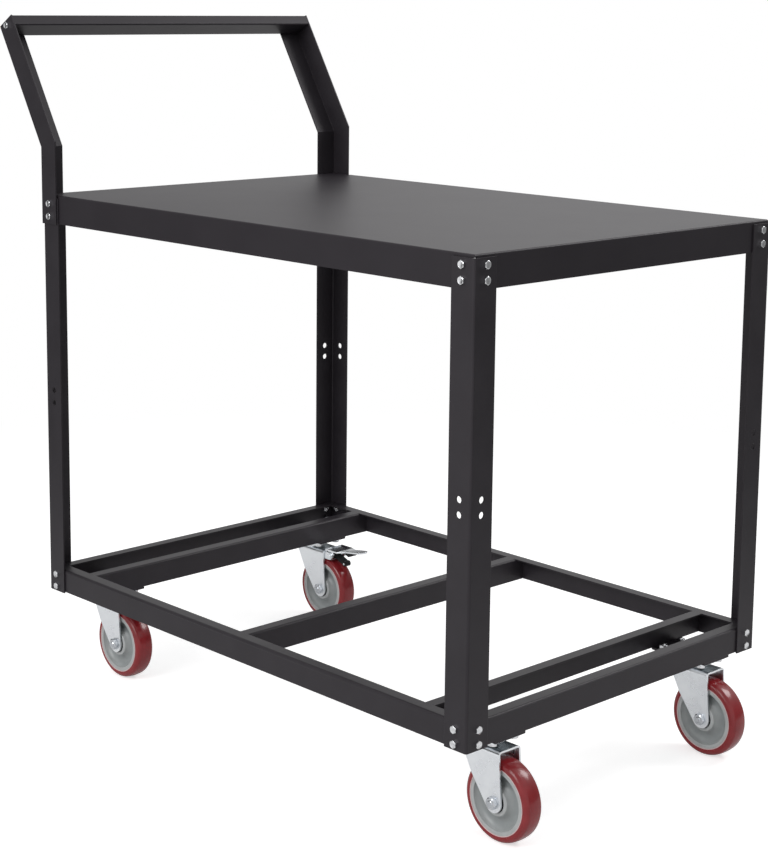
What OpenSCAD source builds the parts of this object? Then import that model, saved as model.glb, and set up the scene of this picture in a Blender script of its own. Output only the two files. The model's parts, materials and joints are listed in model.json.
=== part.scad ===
/* [Bench frame] */
// Length over the corner posts
frame_l = 1040; // [800:10:1600]
// Width over the corner posts
frame_w = 680; // [500:10:900]
// Height of the work surface above the floor
deck_h = 871; // [700:1:1000]
// Flange width of the corner posts and the handle sides
post_a = 44; // [42:0.5:60]
// Steel thickness of the posts, rails and handle
steel_t = 2.5; // [2:0.1:3.5]
// Outside radius of the folded corners
bend_r = 4; // [4:0.1:6]
// How far the posts stop below the work surface
post_drop = 5; // [4.5:0.5:12]
// How far the posts reach below the lower rails
post_lap = 2; // [0:0.5:3]

/* [Deck pan] */
// Sheet thickness of the deck
deck_t = 2; // [1.5:0.1:3]
// Depth of the apron round the deck
apron_h = 50; // [48:1:70]
// Distance from the work surface to the middle of the upper bolt pairs
deck_hole_drop = 26; // [25:0.5:28]
// Width of the stiffener under the deck
stiffener_w = 60; // [40:1:120]
// Depth of the stiffener under the deck
stiffener_h = 20; // [12:1:30]
// Width of each welding flange of the stiffener
stiffener_lip = 15; // [10:1:30]

/* [Lower frame] */
// Height of the lower rails
rail_h = 40; // [38:1:60]
// Width of the top flange of the lower rails
rail_flange = 22; // [16:0.5:24]
// Distance from the frame end to the flange of the cross rail beside it
cross_inset = 88; // [84:1:130]

/* [Handle] */
// Height of the bend above the work surface
bend_rise = 81; // [40:1:160]
// Lean of the handle from the vertical
lean = 31; // [10:0.5:45]
// Length of the leaning part
lean_len = 237; // [150:1:320]
// Distance from the work surface down to the feet of the handle
handle_drop = 51; // [50:1:70]
// Height of the handle bar
bar_h = 20; // [20:0.5:30]
// Wall thickness of the handle bar
bar_t = 2; // [1.5:0.1:2]
// Outside radius of the corners of the handle bar
bar_r = 3; // [2.5:0.1:4]
// Diameter of the vent holes in the rear of the handle bar
vent_d = 6; // [4:0.5:8]

/* [Fasteners] */
// Diameter of the frame bolts
bolt_d = 6.4; // [6:0.1:8]
// Width across flats of their heads and nuts
bolt_af = 11; // [10:0.1:13]
// Height of their heads
head_h = 4.4; // [4:0.1:6]
// Height of their nuts
nut_h = 5.6; // [5:0.1:6.8]
// Diameter of the caster bolts
plate_bolt_d = 8; // [6:0.5:8]
// Width across flats of their heads and nuts
plate_bolt_af = 13; // [11:0.5:13]
// Height of their heads
plate_head_h = 5.3; // [4:0.1:6]
// Height of their nuts
plate_nut_h = 6.5; // [5:0.1:6.8]
// Radial clearance of the frame and caster bolts in their holes
bolt_gap = 0.5; // [0.3:0.05:0.8]
// Diameter of the spare holes for a middle shelf
shelf_hole_d = 10.5; // [8.5:0.1:12]
// Spacing of the holes in each pair
hole_pitch = 22; // [16:0.5:22]
// Distance of the holes from the corner of a post
hole_inset = 23; // [20:0.5:26]
// Height of the spare holes above the foot of the posts
shelf_hole_h = 355; // [150:1:500]

/* [Casters] */
// Wheel diameter
wheel_d = 127; // [100:1:130]
// Width of the tread
tread_w = 34; // [26:0.5:34]
// Diameter of the plastic hub
hub_d = 103; // [80:1:106]
// Height of the caster from the floor to its mounting face
caster_h = 158; // [157:1:180]
// Offset of the axle from the swivel axis
caster_offset = 41; // [34:1:44]
// Distance from the end of the frame to the swivel axis
caster_inset_x = 54.5; // [54:0.5:56]
// Distance from the side of the frame to the swivel axis
caster_inset_y = 95; // [90:1:140]
// Length of the caster mounting plate
plate_l = 95; // [93:0.5:97]
// Width of the caster mounting plate and its pad
plate_w = 64; // [60:1:80]
// Thickness of the caster mounting plate
plate_t = 3; // [2.5:0.1:4]
// Thickness of the welded pad above it
pad_t = 4; // [3:0.5:6]
// Spacing of the caster bolts along the bench
plate_bolt_x = 76; // [74:0.5:77]
// Spacing of the caster bolts across the bench
plate_bolt_y = 44.5; // [43:0.5:46]
// Thickness of the fork steel
fork_t = 3; // [2.5:0.1:3.5]
// Width over the fork legs
fork_w = 46; // [45:0.5:48]
// Diameter of the axle bolt
axle_d = 10; // [8:0.5:11]
// Outside diameter of the axle sleeve
sleeve_d = 14; // [13:0.5:18]
// Diameter of the swivel balls
ball_d = 6; // [5:0.1:6.5]
// Number of balls in each swivel
ball_count = 14; // [8:1:16]
// Width of the brake pedal
pedal_w = 44; // [40:1:46]
// Turn of the brake pedal from free to locked
brake_turn = 21; // [15:1:21]

/* [Hidden] */
$fn = 48;
eps = 0.01;

// Colours as the photograph shows them
black_steel = "#2b2a2d";
grey_deck = "#4a494c";
zinc = "#c9ccd0";
black_part = "#17171a";
hub_grey = "#8f9496";
tread_red = "#8c2f33";

// Clearance of a running fit, of a pin or thread in its hole, and of parts that pass by
run_gap = 0.05;
thread_gap = 0.05;
pass_gap = 0.3;

// Bolt holes
bolt_hole_d = bolt_d + 2 * bolt_gap;
plate_hole_d = plate_bolt_d + 2 * bolt_gap;

// Corners of the frame: front is +X, the end without the handle, and right is -Y
half_l = frame_l / 2;
half_w = frame_w / 2;
FRONT_RIGHT = [1, -1];
FRONT_LEFT = [1, 1];
REAR_RIGHT = [-1, -1];
REAR_LEFT = [-1, 1];
CORNERS = [FRONT_RIGHT, FRONT_LEFT, REAR_RIGHT, REAR_LEFT];

// Heights
rail_z = caster_h + pad_t;
rail_top = rail_z + rail_h;
post_z = rail_z - post_lap;
post_top = deck_h - post_drop;
apron_z = deck_h - apron_h;
deck_hole_z = deck_h - deck_hole_drop;
shelf_hole_z = post_z + shelf_hole_h;

// The lower holes are low enough for their nuts to clear the bend of the rail
nut_reach = bolt_af / sqrt(3);
rail_hole_z = rail_top - bend_r - nut_reach - hole_pitch / 2;

// The rails and the deck lie inside the flanges of the posts and clear the bend between them
inner_l = half_l - steel_t;
inner_w = half_w - steel_t;
corner_gap = bend_r - steel_t + 0.1;
pan_r = deck_t + 1;
pan_notch = 4;
cross_x = half_l - cross_inset;
cross_web_x = cross_x - rail_flange;

// Swivel axes
caster_x = half_l - caster_inset_x;
caster_y = half_w - caster_inset_y;

// Handle: its sides lie outside the rear posts and lean to the rear
handle_x = half_l + steel_t;
handle_y = half_w + steel_t;
handle_z = deck_h - handle_drop;
bend_z = deck_h + bend_rise;
bar_x = steel_t + corner_gap;
bar_w = post_a - bar_x;
bar_bolt_u = bar_x + bar_w / 2;
bar_bolt_drop = bar_h / 2;
vent_inset = 60;

// Swivel: the crown of the fork hangs below the plate on a ring of balls
plate_z = caster_h - plate_t;
crown_top = caster_h - 15.5;
crown_z = crown_top - fork_t;
race_r = 17;
race_in = 11;
race_out = 27;
lower_race_out = 22;
ball_z = crown_top + 6;
kingpin_d = 12;
kingpin_head_d = 22;
kingpin_head_h = 6;

// Fork, seen from the side with the swivel axis at x = 0
axle_z = wheel_d / 2;
fork_in = fork_w / 2 - fork_t;
fork_bend = 6;
crown_rear = caster_offset + 10;
crown_front = -25.5;
fork_kink = [-3.5, 98];
fork_end_r = 15.5;
lip_h = 8.5;

// Wheel
tread_r = wheel_d / 2;
hub_r = hub_d / 2;
hub_half = fork_in - pass_gap;
rim_half = tread_w / 2 - 0.4;
sleeve_r = sleeve_d / 2;

// Brake: the pedal and the shoe turn together on a pin behind the crown
pivot_x = crown_rear + 15;
pivot_z = crown_top - 8.5;
pin_r = 3;
boss_r = 7;
bracket_t = 2;
bracket_half = 19.5;
ear_half = bracket_half - bracket_t - pass_gap;
ear_t = 2;
shoe_half = 12;
rivet_y = 12.5;
rivet_r = 2.5;
pedal_t = 3;
pedal_z = pivot_z + 11;
tongue_w = 24;
tongue_reach = 83;
tongue_rise = 8.5;

// Where the end of the shoe stands when the brake is on
shoe_angle = 46;
shoe_x = caster_offset + (tread_r + 4.8) * cos(shoe_angle);
shoe_z = axle_z + (tread_r + 4.8) * sin(shoe_angle);

// The origin is on the floor under the middle of the bounding box
reach_front = caster_x + caster_offset + tread_r;
reach_rear = handle_x + lean_len * sin(lean);
origin_x = (reach_front - reach_rear) / 2;

module at_origin() {
    translate([-origin_x, 0, 0]) children();
}

// Moves a shape drawn at the origin, with its flanges toward +X and +Y, to a corner of the frame
module to_corner(corner) {
    translate([corner[0] * half_l, corner[1] * half_w, 0])
        mirror([corner[0] > 0 ? 1 : 0, 0, 0])
            mirror([0, corner[1] > 0 ? 1 : 0, 0])
                children();
}

// Moves a shape drawn round a swivel axis to the caster asked for
module to_caster(corner) {
    at_origin() translate([corner[0] * caster_x, corner[1] * caster_y, 0]) children();
}

// Draws a side view, with x along the bench and y upward, as a slab between two values of y
module side_slab(y_from, y_to) {
    translate([0, y_to, 0]) rotate([90, 0, 0]) linear_extrude(y_to - y_from) children();
}

// Draws an end view, with x across the bench and y upward, as a slab between two values of x
module end_slab(x_from, x_to) {
    translate([x_from, 0, 0]) rotate([90, 0, 90]) linear_extrude(x_to - x_from) children();
}

// Folded angle section with its outer corner at the origin
module angle_section(a, b, t, r) {
    translate([r, 0]) square([a - r, t]);
    translate([0, r]) square([t, b - r]);
    intersection() {
        square([r, r]);
        translate([r, r]) difference() {
            circle(r = r);
            circle(r = r - t);
        }
    }
}

// Channel section with its web on the x axis and its lips upward
module channel_section(w, h, t, r) {
    translate([r, 0]) square([w - 2 * r, t]);
    for (side = [0, 1])
        translate([side * w, 0]) mirror([side, 0]) angle_section(2 * r, h, t, r);
}

// Pair of holes at the rear right corner, through the end flange or the side flange
module hole_pair(z, d, through_end) {
    reach = 1 + 2 * steel_t + deck_t;
    for (step = [-1, 1])
        translate([through_end ? 0 : hole_inset, through_end ? hole_inset : 0, z + step * hole_pitch / 2])
            rotate(through_end ? [0, 90, 0] : [-90, 0, 0])
                translate([0, 0, -steel_t - 1]) cylinder(d = d, h = reach + steel_t + 1);
}

module hole_pairs(z, d) {
    hole_pair(z, d, true);
    hole_pair(z, d, false);
}

module post(corner) {
    color(black_steel) at_origin() to_corner(corner) difference() {
        translate([0, 0, post_z])
            linear_extrude(post_top - post_z)
                angle_section(post_a, post_a, steel_t, bend_r);
        hole_pairs(deck_hole_z, bolt_hole_d);
        hole_pairs(shelf_hole_z, shelf_hole_d);
        hole_pairs(rail_hole_z, bolt_hole_d);
    }
}

module post_front_right() post(FRONT_RIGHT);
module post_front_left() post(FRONT_LEFT);
module post_rear_right() post(REAR_RIGHT);
module post_rear_left() post(REAR_LEFT);

// End view of the deck pan: a block with rounded upper edges, open at the bottom
module pan_view(half, drop, r) {
    translate([-half, apron_z - drop]) square([2 * half, apron_h + drop - r]);
    translate([-half + r, apron_z]) square([2 * (half - r), apron_h]);
    for (side = [-1, 1])
        translate([side * (half - r), deck_h - r]) circle(r = r);
}

module pan_block(inset) {
    l = inner_l - inset;
    w = inner_w - inset;
    translate([0, 0, -inset]) intersection() {
        side_slab(-w, w) pan_view(l, inset, pan_r - inset);
        end_slab(-l, l) pan_view(w, inset, pan_r - inset);
    }
}

module deck_pan() {
    color(grey_deck) at_origin() difference() {
        pan_block(0);
        pan_block(deck_t);
        for (corner = CORNERS) {
            translate([corner[0] * inner_l, corner[1] * inner_w, post_top + pass_gap - apron_h / 2])
                cube([2 * pan_notch, 2 * pan_notch, apron_h], center = true);
            to_corner(corner) hole_pairs(deck_hole_z, bolt_hole_d);
        }
    }
}

// Hat section welded under the middle of the deck, open toward it
module deck_stiffener() {
    half = inner_w - deck_t - 12;
    z = deck_h - deck_t;
    inside = stiffener_w - 2 * deck_t;
    color(grey_deck) at_origin() side_slab(-half, half) difference() {
        union() {
            translate([-stiffener_w / 2, z - stiffener_h])
                channel_section(stiffener_w, stiffener_h, deck_t, pan_r);
            translate([-stiffener_w / 2 - stiffener_lip, z - deck_t])
                square([stiffener_w + 2 * stiffener_lip, deck_t]);
        }
        translate([-inside / 2, z - deck_t - 1]) square([inside, deck_t + 2]);
    }
}

// Side rail, drawn at the rear right corner and running to the front
module side_rail(side) {
    color(black_steel) at_origin() difference() {
        end_slab(-inner_l + corner_gap, inner_l - corner_gap)
            translate([side * inner_w, rail_top]) rotate(180)
                mirror([side > 0 ? 0 : 1, 0])
                    angle_section(rail_flange, rail_h, steel_t, bend_r);
        for (end = [-1, 1])
            to_corner([end, side]) hole_pair(rail_hole_z, bolt_hole_d, false);
    }
}

module side_rail_right() side_rail(-1);
module side_rail_left() side_rail(1);

// Rail across the bench with its web on x = 0 and its flange toward +X. Past the flanges of the
// side rails only the web goes on, and its upper corners clear the bends of those rails.
module rail_across(web_half) {
    butt = inner_w - rail_flange;
    side_slab(-butt, butt)
        translate([0, rail_top]) mirror([0, 1])
            angle_section(rail_flange, rail_h, steel_t, bend_r);
    end_slab(0, steel_t)
        polygon([
            [-web_half, rail_z], [web_half, rail_z],
            [web_half, rail_top - bend_r - 0.3], [web_half - corner_gap, rail_top - steel_t],
            [-web_half + corner_gap, rail_top - steel_t], [-web_half, rail_top - bend_r - 0.3]
        ]);
}

module end_rail(end) {
    color(black_steel) at_origin() difference() {
        translate([end * inner_l, 0, 0]) mirror([end > 0 ? 1 : 0, 0, 0])
            rail_across(inner_w - steel_t);
        for (side = [-1, 1])
            to_corner([end, side]) hole_pair(rail_hole_z, bolt_hole_d, true);
    }
}

module end_rail_front() end_rail(1);
module end_rail_rear() end_rail(-1);

module cross_rail_front() {
    color(black_steel) at_origin() translate([cross_web_x, 0, 0]) rail_across(inner_w - steel_t);
}

module cross_rail_rear() {
    color(black_steel) at_origin() mirror([1, 0, 0]) translate([cross_web_x, 0, 0])
        rail_across(inner_w - steel_t);
}

module cross_rail_center() {
    color(black_steel) at_origin() mirror([1, 0, 0]) translate([-rail_flange / 2, 0, 0])
        rail_across(inner_w - steel_t);
}

// Places a shape at each of the four bolts of a caster
module at_plate_bolts() {
    for (step_x = [-1, 1], step_y = [-1, 1])
        translate([step_x * plate_bolt_x / 2, step_y * plate_bolt_y / 2, 0]) children();
}

module caster_pads() {
    pad_x = (cross_web_x + inner_l) / 2;
    color(black_steel) for (corner = CORNERS) difference() {
        at_origin() translate([corner[0] * pad_x, corner[1] * caster_y, caster_h + pad_t / 2])
            cube([inner_l - cross_web_x, plate_w, pad_t], center = true);
        to_caster(corner) at_plate_bolts() translate([0, 0, caster_h - 1])
            cylinder(d = plate_hole_d, h = pad_t + 2);
    }
}

// Handle parts are drawn round the bend, and this leans the part above it to the rear
module leaned() {
    translate([-handle_x, 0, bend_z]) rotate([0, -lean, 0]) children();
}

// Everything above, or below, the plane that halves the bend of the handle
module bend_half(above) {
    size = 3 * (lean_len + post_a + bend_rise + handle_drop);
    translate([-handle_x, 0, bend_z]) rotate([0, -lean / 2, 0])
        translate([-size / 2, -size / 2, above ? 0 : -size]) cube(size);
}

// Side view of a side of the handle, its rear edge moved forward by the inset
module handle_view(inset) {
    top = [-handle_x - lean_len * sin(lean), bend_z + lean_len * cos(lean)];
    across = [cos(lean), sin(lean)];
    polygon([
        [-handle_x + inset, handle_z], [-handle_x + inset, bend_z + inset * tan(lean / 2)],
        top + inset * across, top + post_a * across,
        [-handle_x + post_a, bend_z + post_a * tan(lean / 2)], [-handle_x + post_a, handle_z]
    ]);
}

// What rounds the outer corner of an angle section that is extruded by the length
module corner_rounding(length) {
    translate([0, 0, -1]) linear_extrude(length + 2) difference() {
        translate([-1, -1]) square(bend_r + 1);
        translate([bend_r, bend_r]) circle(r = bend_r);
    }
}

// Side of the handle: a folded angle, mitred and welded at the bend
module handle_side(side) {
    foot = [-handle_x, -handle_y, handle_z];
    color(black_steel) at_origin() difference() {
        mirror([0, side > 0 ? 1 : 0, 0]) difference() {
            side_slab(-handle_y, -handle_y + post_a) handle_view(0);
            side_slab(-handle_y + steel_t, -handle_y + post_a + 1) handle_view(steel_t);
            intersection() {
                translate(foot) corner_rounding(bend_z - handle_z + post_a);
                bend_half(false);
            }
            intersection() {
                leaned() translate([0, -handle_y, -post_a]) corner_rounding(lean_len + post_a);
                bend_half(true);
            }
        }
        to_corner([-1, side]) hole_pairs(deck_hole_z, bolt_hole_d);
        leaned() bar_bolt_axis(side) translate([0, 0, -1]) cylinder(d = bolt_hole_d, h = 2 + steel_t);
    }
}

// Axis of the bolt at each end of the handle bar, starting at the outer face of the handle
module bar_bolt_axis(side) {
    translate([bar_bolt_u, side * handle_y, lean_len - bar_bolt_drop])
        rotate([side > 0 ? 90 : -90, 0, 0]) children();
}

module handle_side_right() handle_side(-1);
module handle_side_left() handle_side(1);

// Rectangle with rounded corners, from the origin
module rounded_rect(w, h, r) {
    translate([r, 0]) square([w - 2 * r, h]);
    translate([0, r]) square([w, h - 2 * r]);
    for (x = [r, w - r], y = [r, h - r])
        translate([x, y]) circle(r = r);
}

// Tube between the sides of the handle, with a plate for the bolt and a vent hole at each end
module handle_bar() {
    inside_end = half_w - steel_t;
    color(black_steel) at_origin() leaned() difference() {
        side_slab(-half_w, half_w)
            translate([bar_x, lean_len - bar_h]) rounded_rect(bar_w, bar_h, bar_r);
        side_slab(-inside_end, inside_end)
            translate([bar_x + bar_t, lean_len - bar_h + bar_t])
                rounded_rect(bar_w - 2 * bar_t, bar_h - 2 * bar_t, bar_r - bar_t);
        for (side = [-1, 1]) {
            bar_bolt_axis(side) translate([0, 0, -1]) cylinder(d = bolt_hole_d, h = 4 * steel_t);
            translate([bar_x - 1, side * (half_w - vent_inset), lean_len - bar_h / 2])
                rotate([0, 90, 0]) cylinder(d = vent_d, h = bar_t + 2);
        }
    }
}

// Hex bolt along +Z, with the seat of its head on z = 0
module hex_bolt(d, af, head, reach) {
    translate([0, 0, -head]) cylinder(d = af / cos(30), h = head, $fn = 6);
    translate([0, 0, -1]) cylinder(d = d, h = 1 + reach);
}

// Nut along +Z, with the bolt passing through it
module hex_nut(d, af, h) {
    difference() {
        cylinder(d = af / cos(30), h = h, $fn = 6);
        translate([0, 0, -1]) cylinder(d = d + 2 * thread_gap, h = h + 2);
    }
}

module bolt(grip) {
    hex_bolt(bolt_d, bolt_af, head_h, grip + nut_h + 2);
}

module nut(grip) {
    translate([0, 0, grip]) hex_nut(bolt_d, bolt_af, nut_h);
}

// Places bolts or nuts, drawn along +Z, in a pair of holes, seated on the outer face
module at_hole_pair(z, through_end, seat) {
    for (step = [-1, 1])
        translate([
            through_end ? -seat : hole_inset,
            through_end ? hole_inset : -seat,
            z + step * hole_pitch / 2
        ])
            rotate(through_end ? [0, 90, 0] : [-90, 0, 0]) rotate(through_end ? 0 : 30)
                children();
}

module at_deck_holes(end, seat) {
    for (side = [-1, 1], through_end = [true, false])
        at_origin() to_corner([end, side]) at_hole_pair(deck_hole_z, through_end, seat) children();
}

module at_rail_holes() {
    for (corner = CORNERS, through_end = [true, false])
        at_origin() to_corner(corner) at_hole_pair(rail_hole_z, through_end, 0) children();
}

module at_bar_bolts() {
    for (side = [-1, 1])
        at_origin() leaned() bar_bolt_axis(side) children();
}

module at_caster_bolts() {
    for (corner = CORNERS)
        to_caster(corner) at_plate_bolts() translate([0, 0, plate_z]) children();
}

module frame_bolts() {
    color(zinc) {
        at_deck_holes(1, 0) bolt(steel_t + deck_t);
        at_rail_holes() bolt(2 * steel_t);
    }
}

module handle_bolts() {
    color(zinc) at_deck_holes(-1, steel_t) bolt(2 * steel_t + deck_t);
}

module handle_bar_bolts() {
    color(zinc) at_bar_bolts() bolt(2 * steel_t);
}

module caster_bolts() {
    color(zinc) at_caster_bolts()
        hex_bolt(plate_bolt_d, plate_bolt_af, plate_head_h, plate_t + pad_t + plate_nut_h + 2);
}

module hex_nuts() {
    color(zinc) {
        at_deck_holes(1, 0) nut(steel_t + deck_t);
        at_rail_holes() nut(2 * steel_t);
        at_deck_holes(-1, steel_t) nut(2 * steel_t + deck_t);
        at_bar_bolts() nut(2 * steel_t);
        at_caster_bolts() translate([0, 0, plate_t + pad_t])
            hex_nut(plate_bolt_d, plate_bolt_af, plate_nut_h);
    }
}

// Ring groove for the balls of a swivel
module ball_groove(gap) {
    translate([0, 0, ball_z]) rotate_extrude()
        translate([race_r, 0]) circle(d = ball_d + 2 * gap);
}

// Caster plate with rounded corners and the upper ball race under it
module caster_plate(corner) {
    r = 6;
    race_z = ball_z + 0.8;
    color(zinc) to_caster(corner) difference() {
        union() {
            translate([0, 0, plate_z]) linear_extrude(plate_t) {
                square([plate_l - 2 * r, plate_w], center = true);
                square([plate_l, plate_w - 2 * r], center = true);
                for (step_x = [-1, 1], step_y = [-1, 1])
                    translate([step_x * (plate_l / 2 - r), step_y * (plate_w / 2 - r)]) circle(r = r);
            }
            translate([0, 0, race_z]) difference() {
                cylinder(r = race_out, h = plate_z - race_z);
                translate([0, 0, -1]) cylinder(r = race_in, h = plate_z - race_z + 1);
            }
        }
        ball_groove(thread_gap);
        at_plate_bolts() translate([0, 0, plate_z - 1]) cylinder(d = plate_hole_d, h = plate_t + 2);
        translate([0, 0, plate_z - 1]) cylinder(d = kingpin_d + 2 * thread_gap, h = plate_t + 2);
    }
}

module caster_plate_front_right() caster_plate(FRONT_RIGHT);
module caster_plate_front_left() caster_plate(FRONT_LEFT);
module caster_plate_rear_right() caster_plate(REAR_RIGHT);
module caster_plate_rear_left() caster_plate(REAR_LEFT);

// Kingpins, fixed in the plates, with the heads that carry the forks
module kingpins() {
    head_top = crown_z - pass_gap;
    color(zinc) for (corner = CORNERS) to_caster(corner) {
        translate([0, 0, head_top - kingpin_head_h]) cylinder(d = kingpin_head_d, h = kingpin_head_h);
        translate([0, 0, head_top - 1]) cylinder(d = kingpin_d, h = caster_h - head_top + 1);
    }
}

module swivel_balls() {
    color(zinc) for (corner = CORNERS) to_caster(corner)
        for (i = [0 : ball_count - 1])
            rotate(i * 360 / ball_count) translate([race_r, 0, ball_z]) sphere(d = ball_d);
}

// Point where a line from a point touches a circle, on its left side or its right side
function touch_point(from, center, r, side) =
    let (
        d = center - from,
        far = norm(d),
        turn = atan2(d[1], d[0]) + side * asin(r / far),
        reach = sqrt(far * far - r * r)
    )
    from + reach * [cos(turn), sin(turn)];

// Side view of the fork: the crown at the top and the legs down to the axle
module fork_side() {
    axle = [caster_offset, axle_z];
    polygon([
        [crown_front, crown_top], [crown_front, crown_z], fork_kink,
        touch_point(fork_kink, axle, fork_end_r, -1), axle,
        touch_point([crown_rear, crown_z], axle, fork_end_r, 1),
        [crown_rear, crown_z], [crown_rear, crown_top]
    ]);
    translate(axle) circle(r = fork_end_r);
}

// End view of the fork: a channel with rounded upper edges, open at the bottom
module fork_end() {
    translate([-fork_w / 2, crown_top]) mirror([0, 1])
        channel_section(fork_w, crown_top, fork_t, fork_bend);
}

// Pressed fork with the lower ball race on its crown and a lip turned down at the front. A fork
// with a brake has a second lip at the rear, which its bracket is riveted to.
module fork(corner) {
    half = fork_w / 2 - fork_bend;
    race_h = ball_z - 1.2 - crown_top;
    braked = corner[0] < 0;
    color(zinc) to_caster(corner) difference() {
        union() {
            intersection() {
                side_slab(-fork_w, fork_w) fork_side();
                end_slab(-caster_offset - tread_r, caster_offset + tread_r) fork_end();
            }
            translate([crown_front, -half, crown_top - lip_h]) cube([fork_t, 2 * half, lip_h - 1]);
            if (braked)
                translate([crown_rear - fork_t, -half, crown_top - lip_h - 3])
                    cube([fork_t, 2 * half, lip_h + 2]);
            translate([0, 0, crown_top - 1]) difference() {
                cylinder(r = lower_race_out, h = race_h + 1);
                cylinder(r = race_in, h = race_h + 2);
            }
        }
        ball_groove(pass_gap);
        translate([0, 0, crown_z - 1]) cylinder(d = kingpin_d + 2 * run_gap, h = fork_t + 2);
        translate([caster_offset, 0, axle_z]) rotate([90, 0, 0])
            cylinder(d = axle_d + 2 * thread_gap, h = 2 * fork_w, center = true);
        if (braked)
            for (side = [-1, 1])
                translate([crown_rear - fork_t - 1, side * rivet_y, pivot_z])
                    rotate([0, 90, 0]) cylinder(r = rivet_r + thread_gap, h = fork_t + 2);
    }
}

module fork_front_right() fork(FRONT_RIGHT);
module fork_front_left() fork(FRONT_LEFT);
module fork_rear_right() fork(REAR_RIGHT);
module fork_rear_left() fork(REAR_LEFT);

// Moves a shape drawn along +Z to the axle of a caster, with +Z toward -Y
module on_axle(corner) {
    to_caster(corner) translate([caster_offset, 0, axle_z]) rotate([90, 0, 0]) children();
}

axle_af = 17;
axle_head_h = 6;
axle_nut_h = 6.5;

module axle_bolt(corner) {
    half = fork_w / 2;
    color(zinc) on_axle(corner) {
        translate([0, 0, -half - axle_head_h]) cylinder(d = axle_af / cos(30), h = axle_head_h, $fn = 6);
        translate([0, 0, -half - 1]) cylinder(d = axle_d, h = 2 * half + axle_nut_h + 2);
    }
}

module axle_bolt_front_right() axle_bolt(FRONT_RIGHT);
module axle_bolt_front_left() axle_bolt(FRONT_LEFT);
module axle_bolt_rear_right() axle_bolt(REAR_RIGHT);
module axle_bolt_rear_left() axle_bolt(REAR_LEFT);

module axle_nut(corner) {
    color(zinc) on_axle(corner) translate([0, 0, fork_w / 2]) difference() {
        cylinder(d = axle_af / cos(30), h = axle_nut_h, $fn = 6);
        translate([0, 0, -1]) cylinder(d = axle_d + 2 * thread_gap, h = axle_nut_h + 2);
    }
}

module axle_nut_front_right() axle_nut(FRONT_RIGHT);
module axle_nut_front_left() axle_nut(FRONT_LEFT);
module axle_nut_rear_right() axle_nut(REAR_RIGHT);
module axle_nut_rear_left() axle_nut(REAR_LEFT);

// Sleeve on the axle bolt, clamped between the fork legs, on which the hub turns
module axle_sleeve(corner) {
    color(zinc) on_axle(corner) difference() {
        cylinder(d = sleeve_d, h = 2 * fork_in, center = true);
        cylinder(d = axle_d + 2 * thread_gap, h = fork_w, center = true);
    }
}

module axle_sleeve_front_right() axle_sleeve(FRONT_RIGHT);
module axle_sleeve_front_left() axle_sleeve(FRONT_LEFT);
module axle_sleeve_rear_right() axle_sleeve(REAR_RIGHT);
module axle_sleeve_rear_left() axle_sleeve(REAR_LEFT);

// Plastic hub, dished on both faces, with a wide boss and a narrow collar round the sleeve
module wheel_hub(corner) {
    dish_in = sleeve_r + 15;
    dish_out = hub_r - 6.5;
    dish_half = (dish_out - dish_in) / 2;
    dish_depth = min(9.5, dish_half);
    dish_r = (dish_half * dish_half + dish_depth * dish_depth) / (2 * dish_depth);
    collar = sleeve_r + 3.5;
    boss = sleeve_r + 11;
    boss_half = rim_half + 1.4;
    bore = sleeve_r + run_gap;
    color(hub_grey) on_axle(corner) rotate_extrude() difference() {
        union() {
            translate([bore, -rim_half]) square([hub_r - bore, 2 * rim_half]);
            translate([bore, -hub_half]) square([collar - bore, 2 * hub_half]);
            polygon([
                [bore, -boss_half], [boss, -boss_half], [dish_in, -rim_half],
                [dish_in, rim_half], [boss, boss_half], [bore, boss_half]
            ]);
        }
        for (side = [-1, 1])
            translate([(dish_in + dish_out) / 2, side * (rim_half + dish_r - dish_depth)])
                circle(r = dish_r);
    }
}

module wheel_hub_front_right() wheel_hub(FRONT_RIGHT);
module wheel_hub_front_left() wheel_hub(FRONT_LEFT);
module wheel_hub_rear_right() wheel_hub(REAR_RIGHT);
module wheel_hub_rear_left() wheel_hub(REAR_LEFT);

// Tread bonded round the hub, with a slightly crowned face and rounded shoulders
module wheel_tread(corner) {
    half = tread_w / 2;
    r = 8;
    crown = 0.7;
    face = half - r;
    base = hub_r + thread_gap;
    face_r = tread_r - crown;
    crown_r = (face * face + crown * crown) / (2 * crown);
    color(tread_red) on_axle(corner) rotate_extrude() {
        translate([base, -half]) square([face_r - r - base, 2 * half]);
        translate([base, -face]) square([face_r - base, 2 * face]);
        for (side = [-1, 1])
            translate([face_r - r, side * face]) intersection() {
                circle(r = r);
                translate([base - face_r + r, -r]) square([face_r - base + 1, 2 * r]);
            }
        intersection() {
            translate([tread_r - crown_r, 0]) circle(r = crown_r);
            translate([face_r - 1, -face]) square([crown + 2, 2 * face]);
        }
    }
}

module wheel_tread_front_right() wheel_tread(FRONT_RIGHT);
module wheel_tread_front_left() wheel_tread(FRONT_LEFT);
module wheel_tread_rear_right() wheel_tread(REAR_RIGHT);
module wheel_tread_rear_left() wheel_tread(REAR_LEFT);

// Ear round the brake pivot, seen from the side, reaching to the x and the z given
module ear_view(x_to, z_to) {
    translate([pivot_x, pivot_z]) circle(r = boss_r);
    x_low = min(x_to, pivot_x);
    translate([x_low, pivot_z - (z_to > pivot_z + boss_r ? 0 : boss_r)])
        square([abs(x_to - pivot_x), z_to > pivot_z + boss_r ? z_to - pivot_z : 2 * boss_r]);
}

module pivot_hole(r) {
    translate([pivot_x, 0, pivot_z]) rotate([90, 0, 0]) cylinder(r = r, h = 2 * fork_w, center = true);
}

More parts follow.
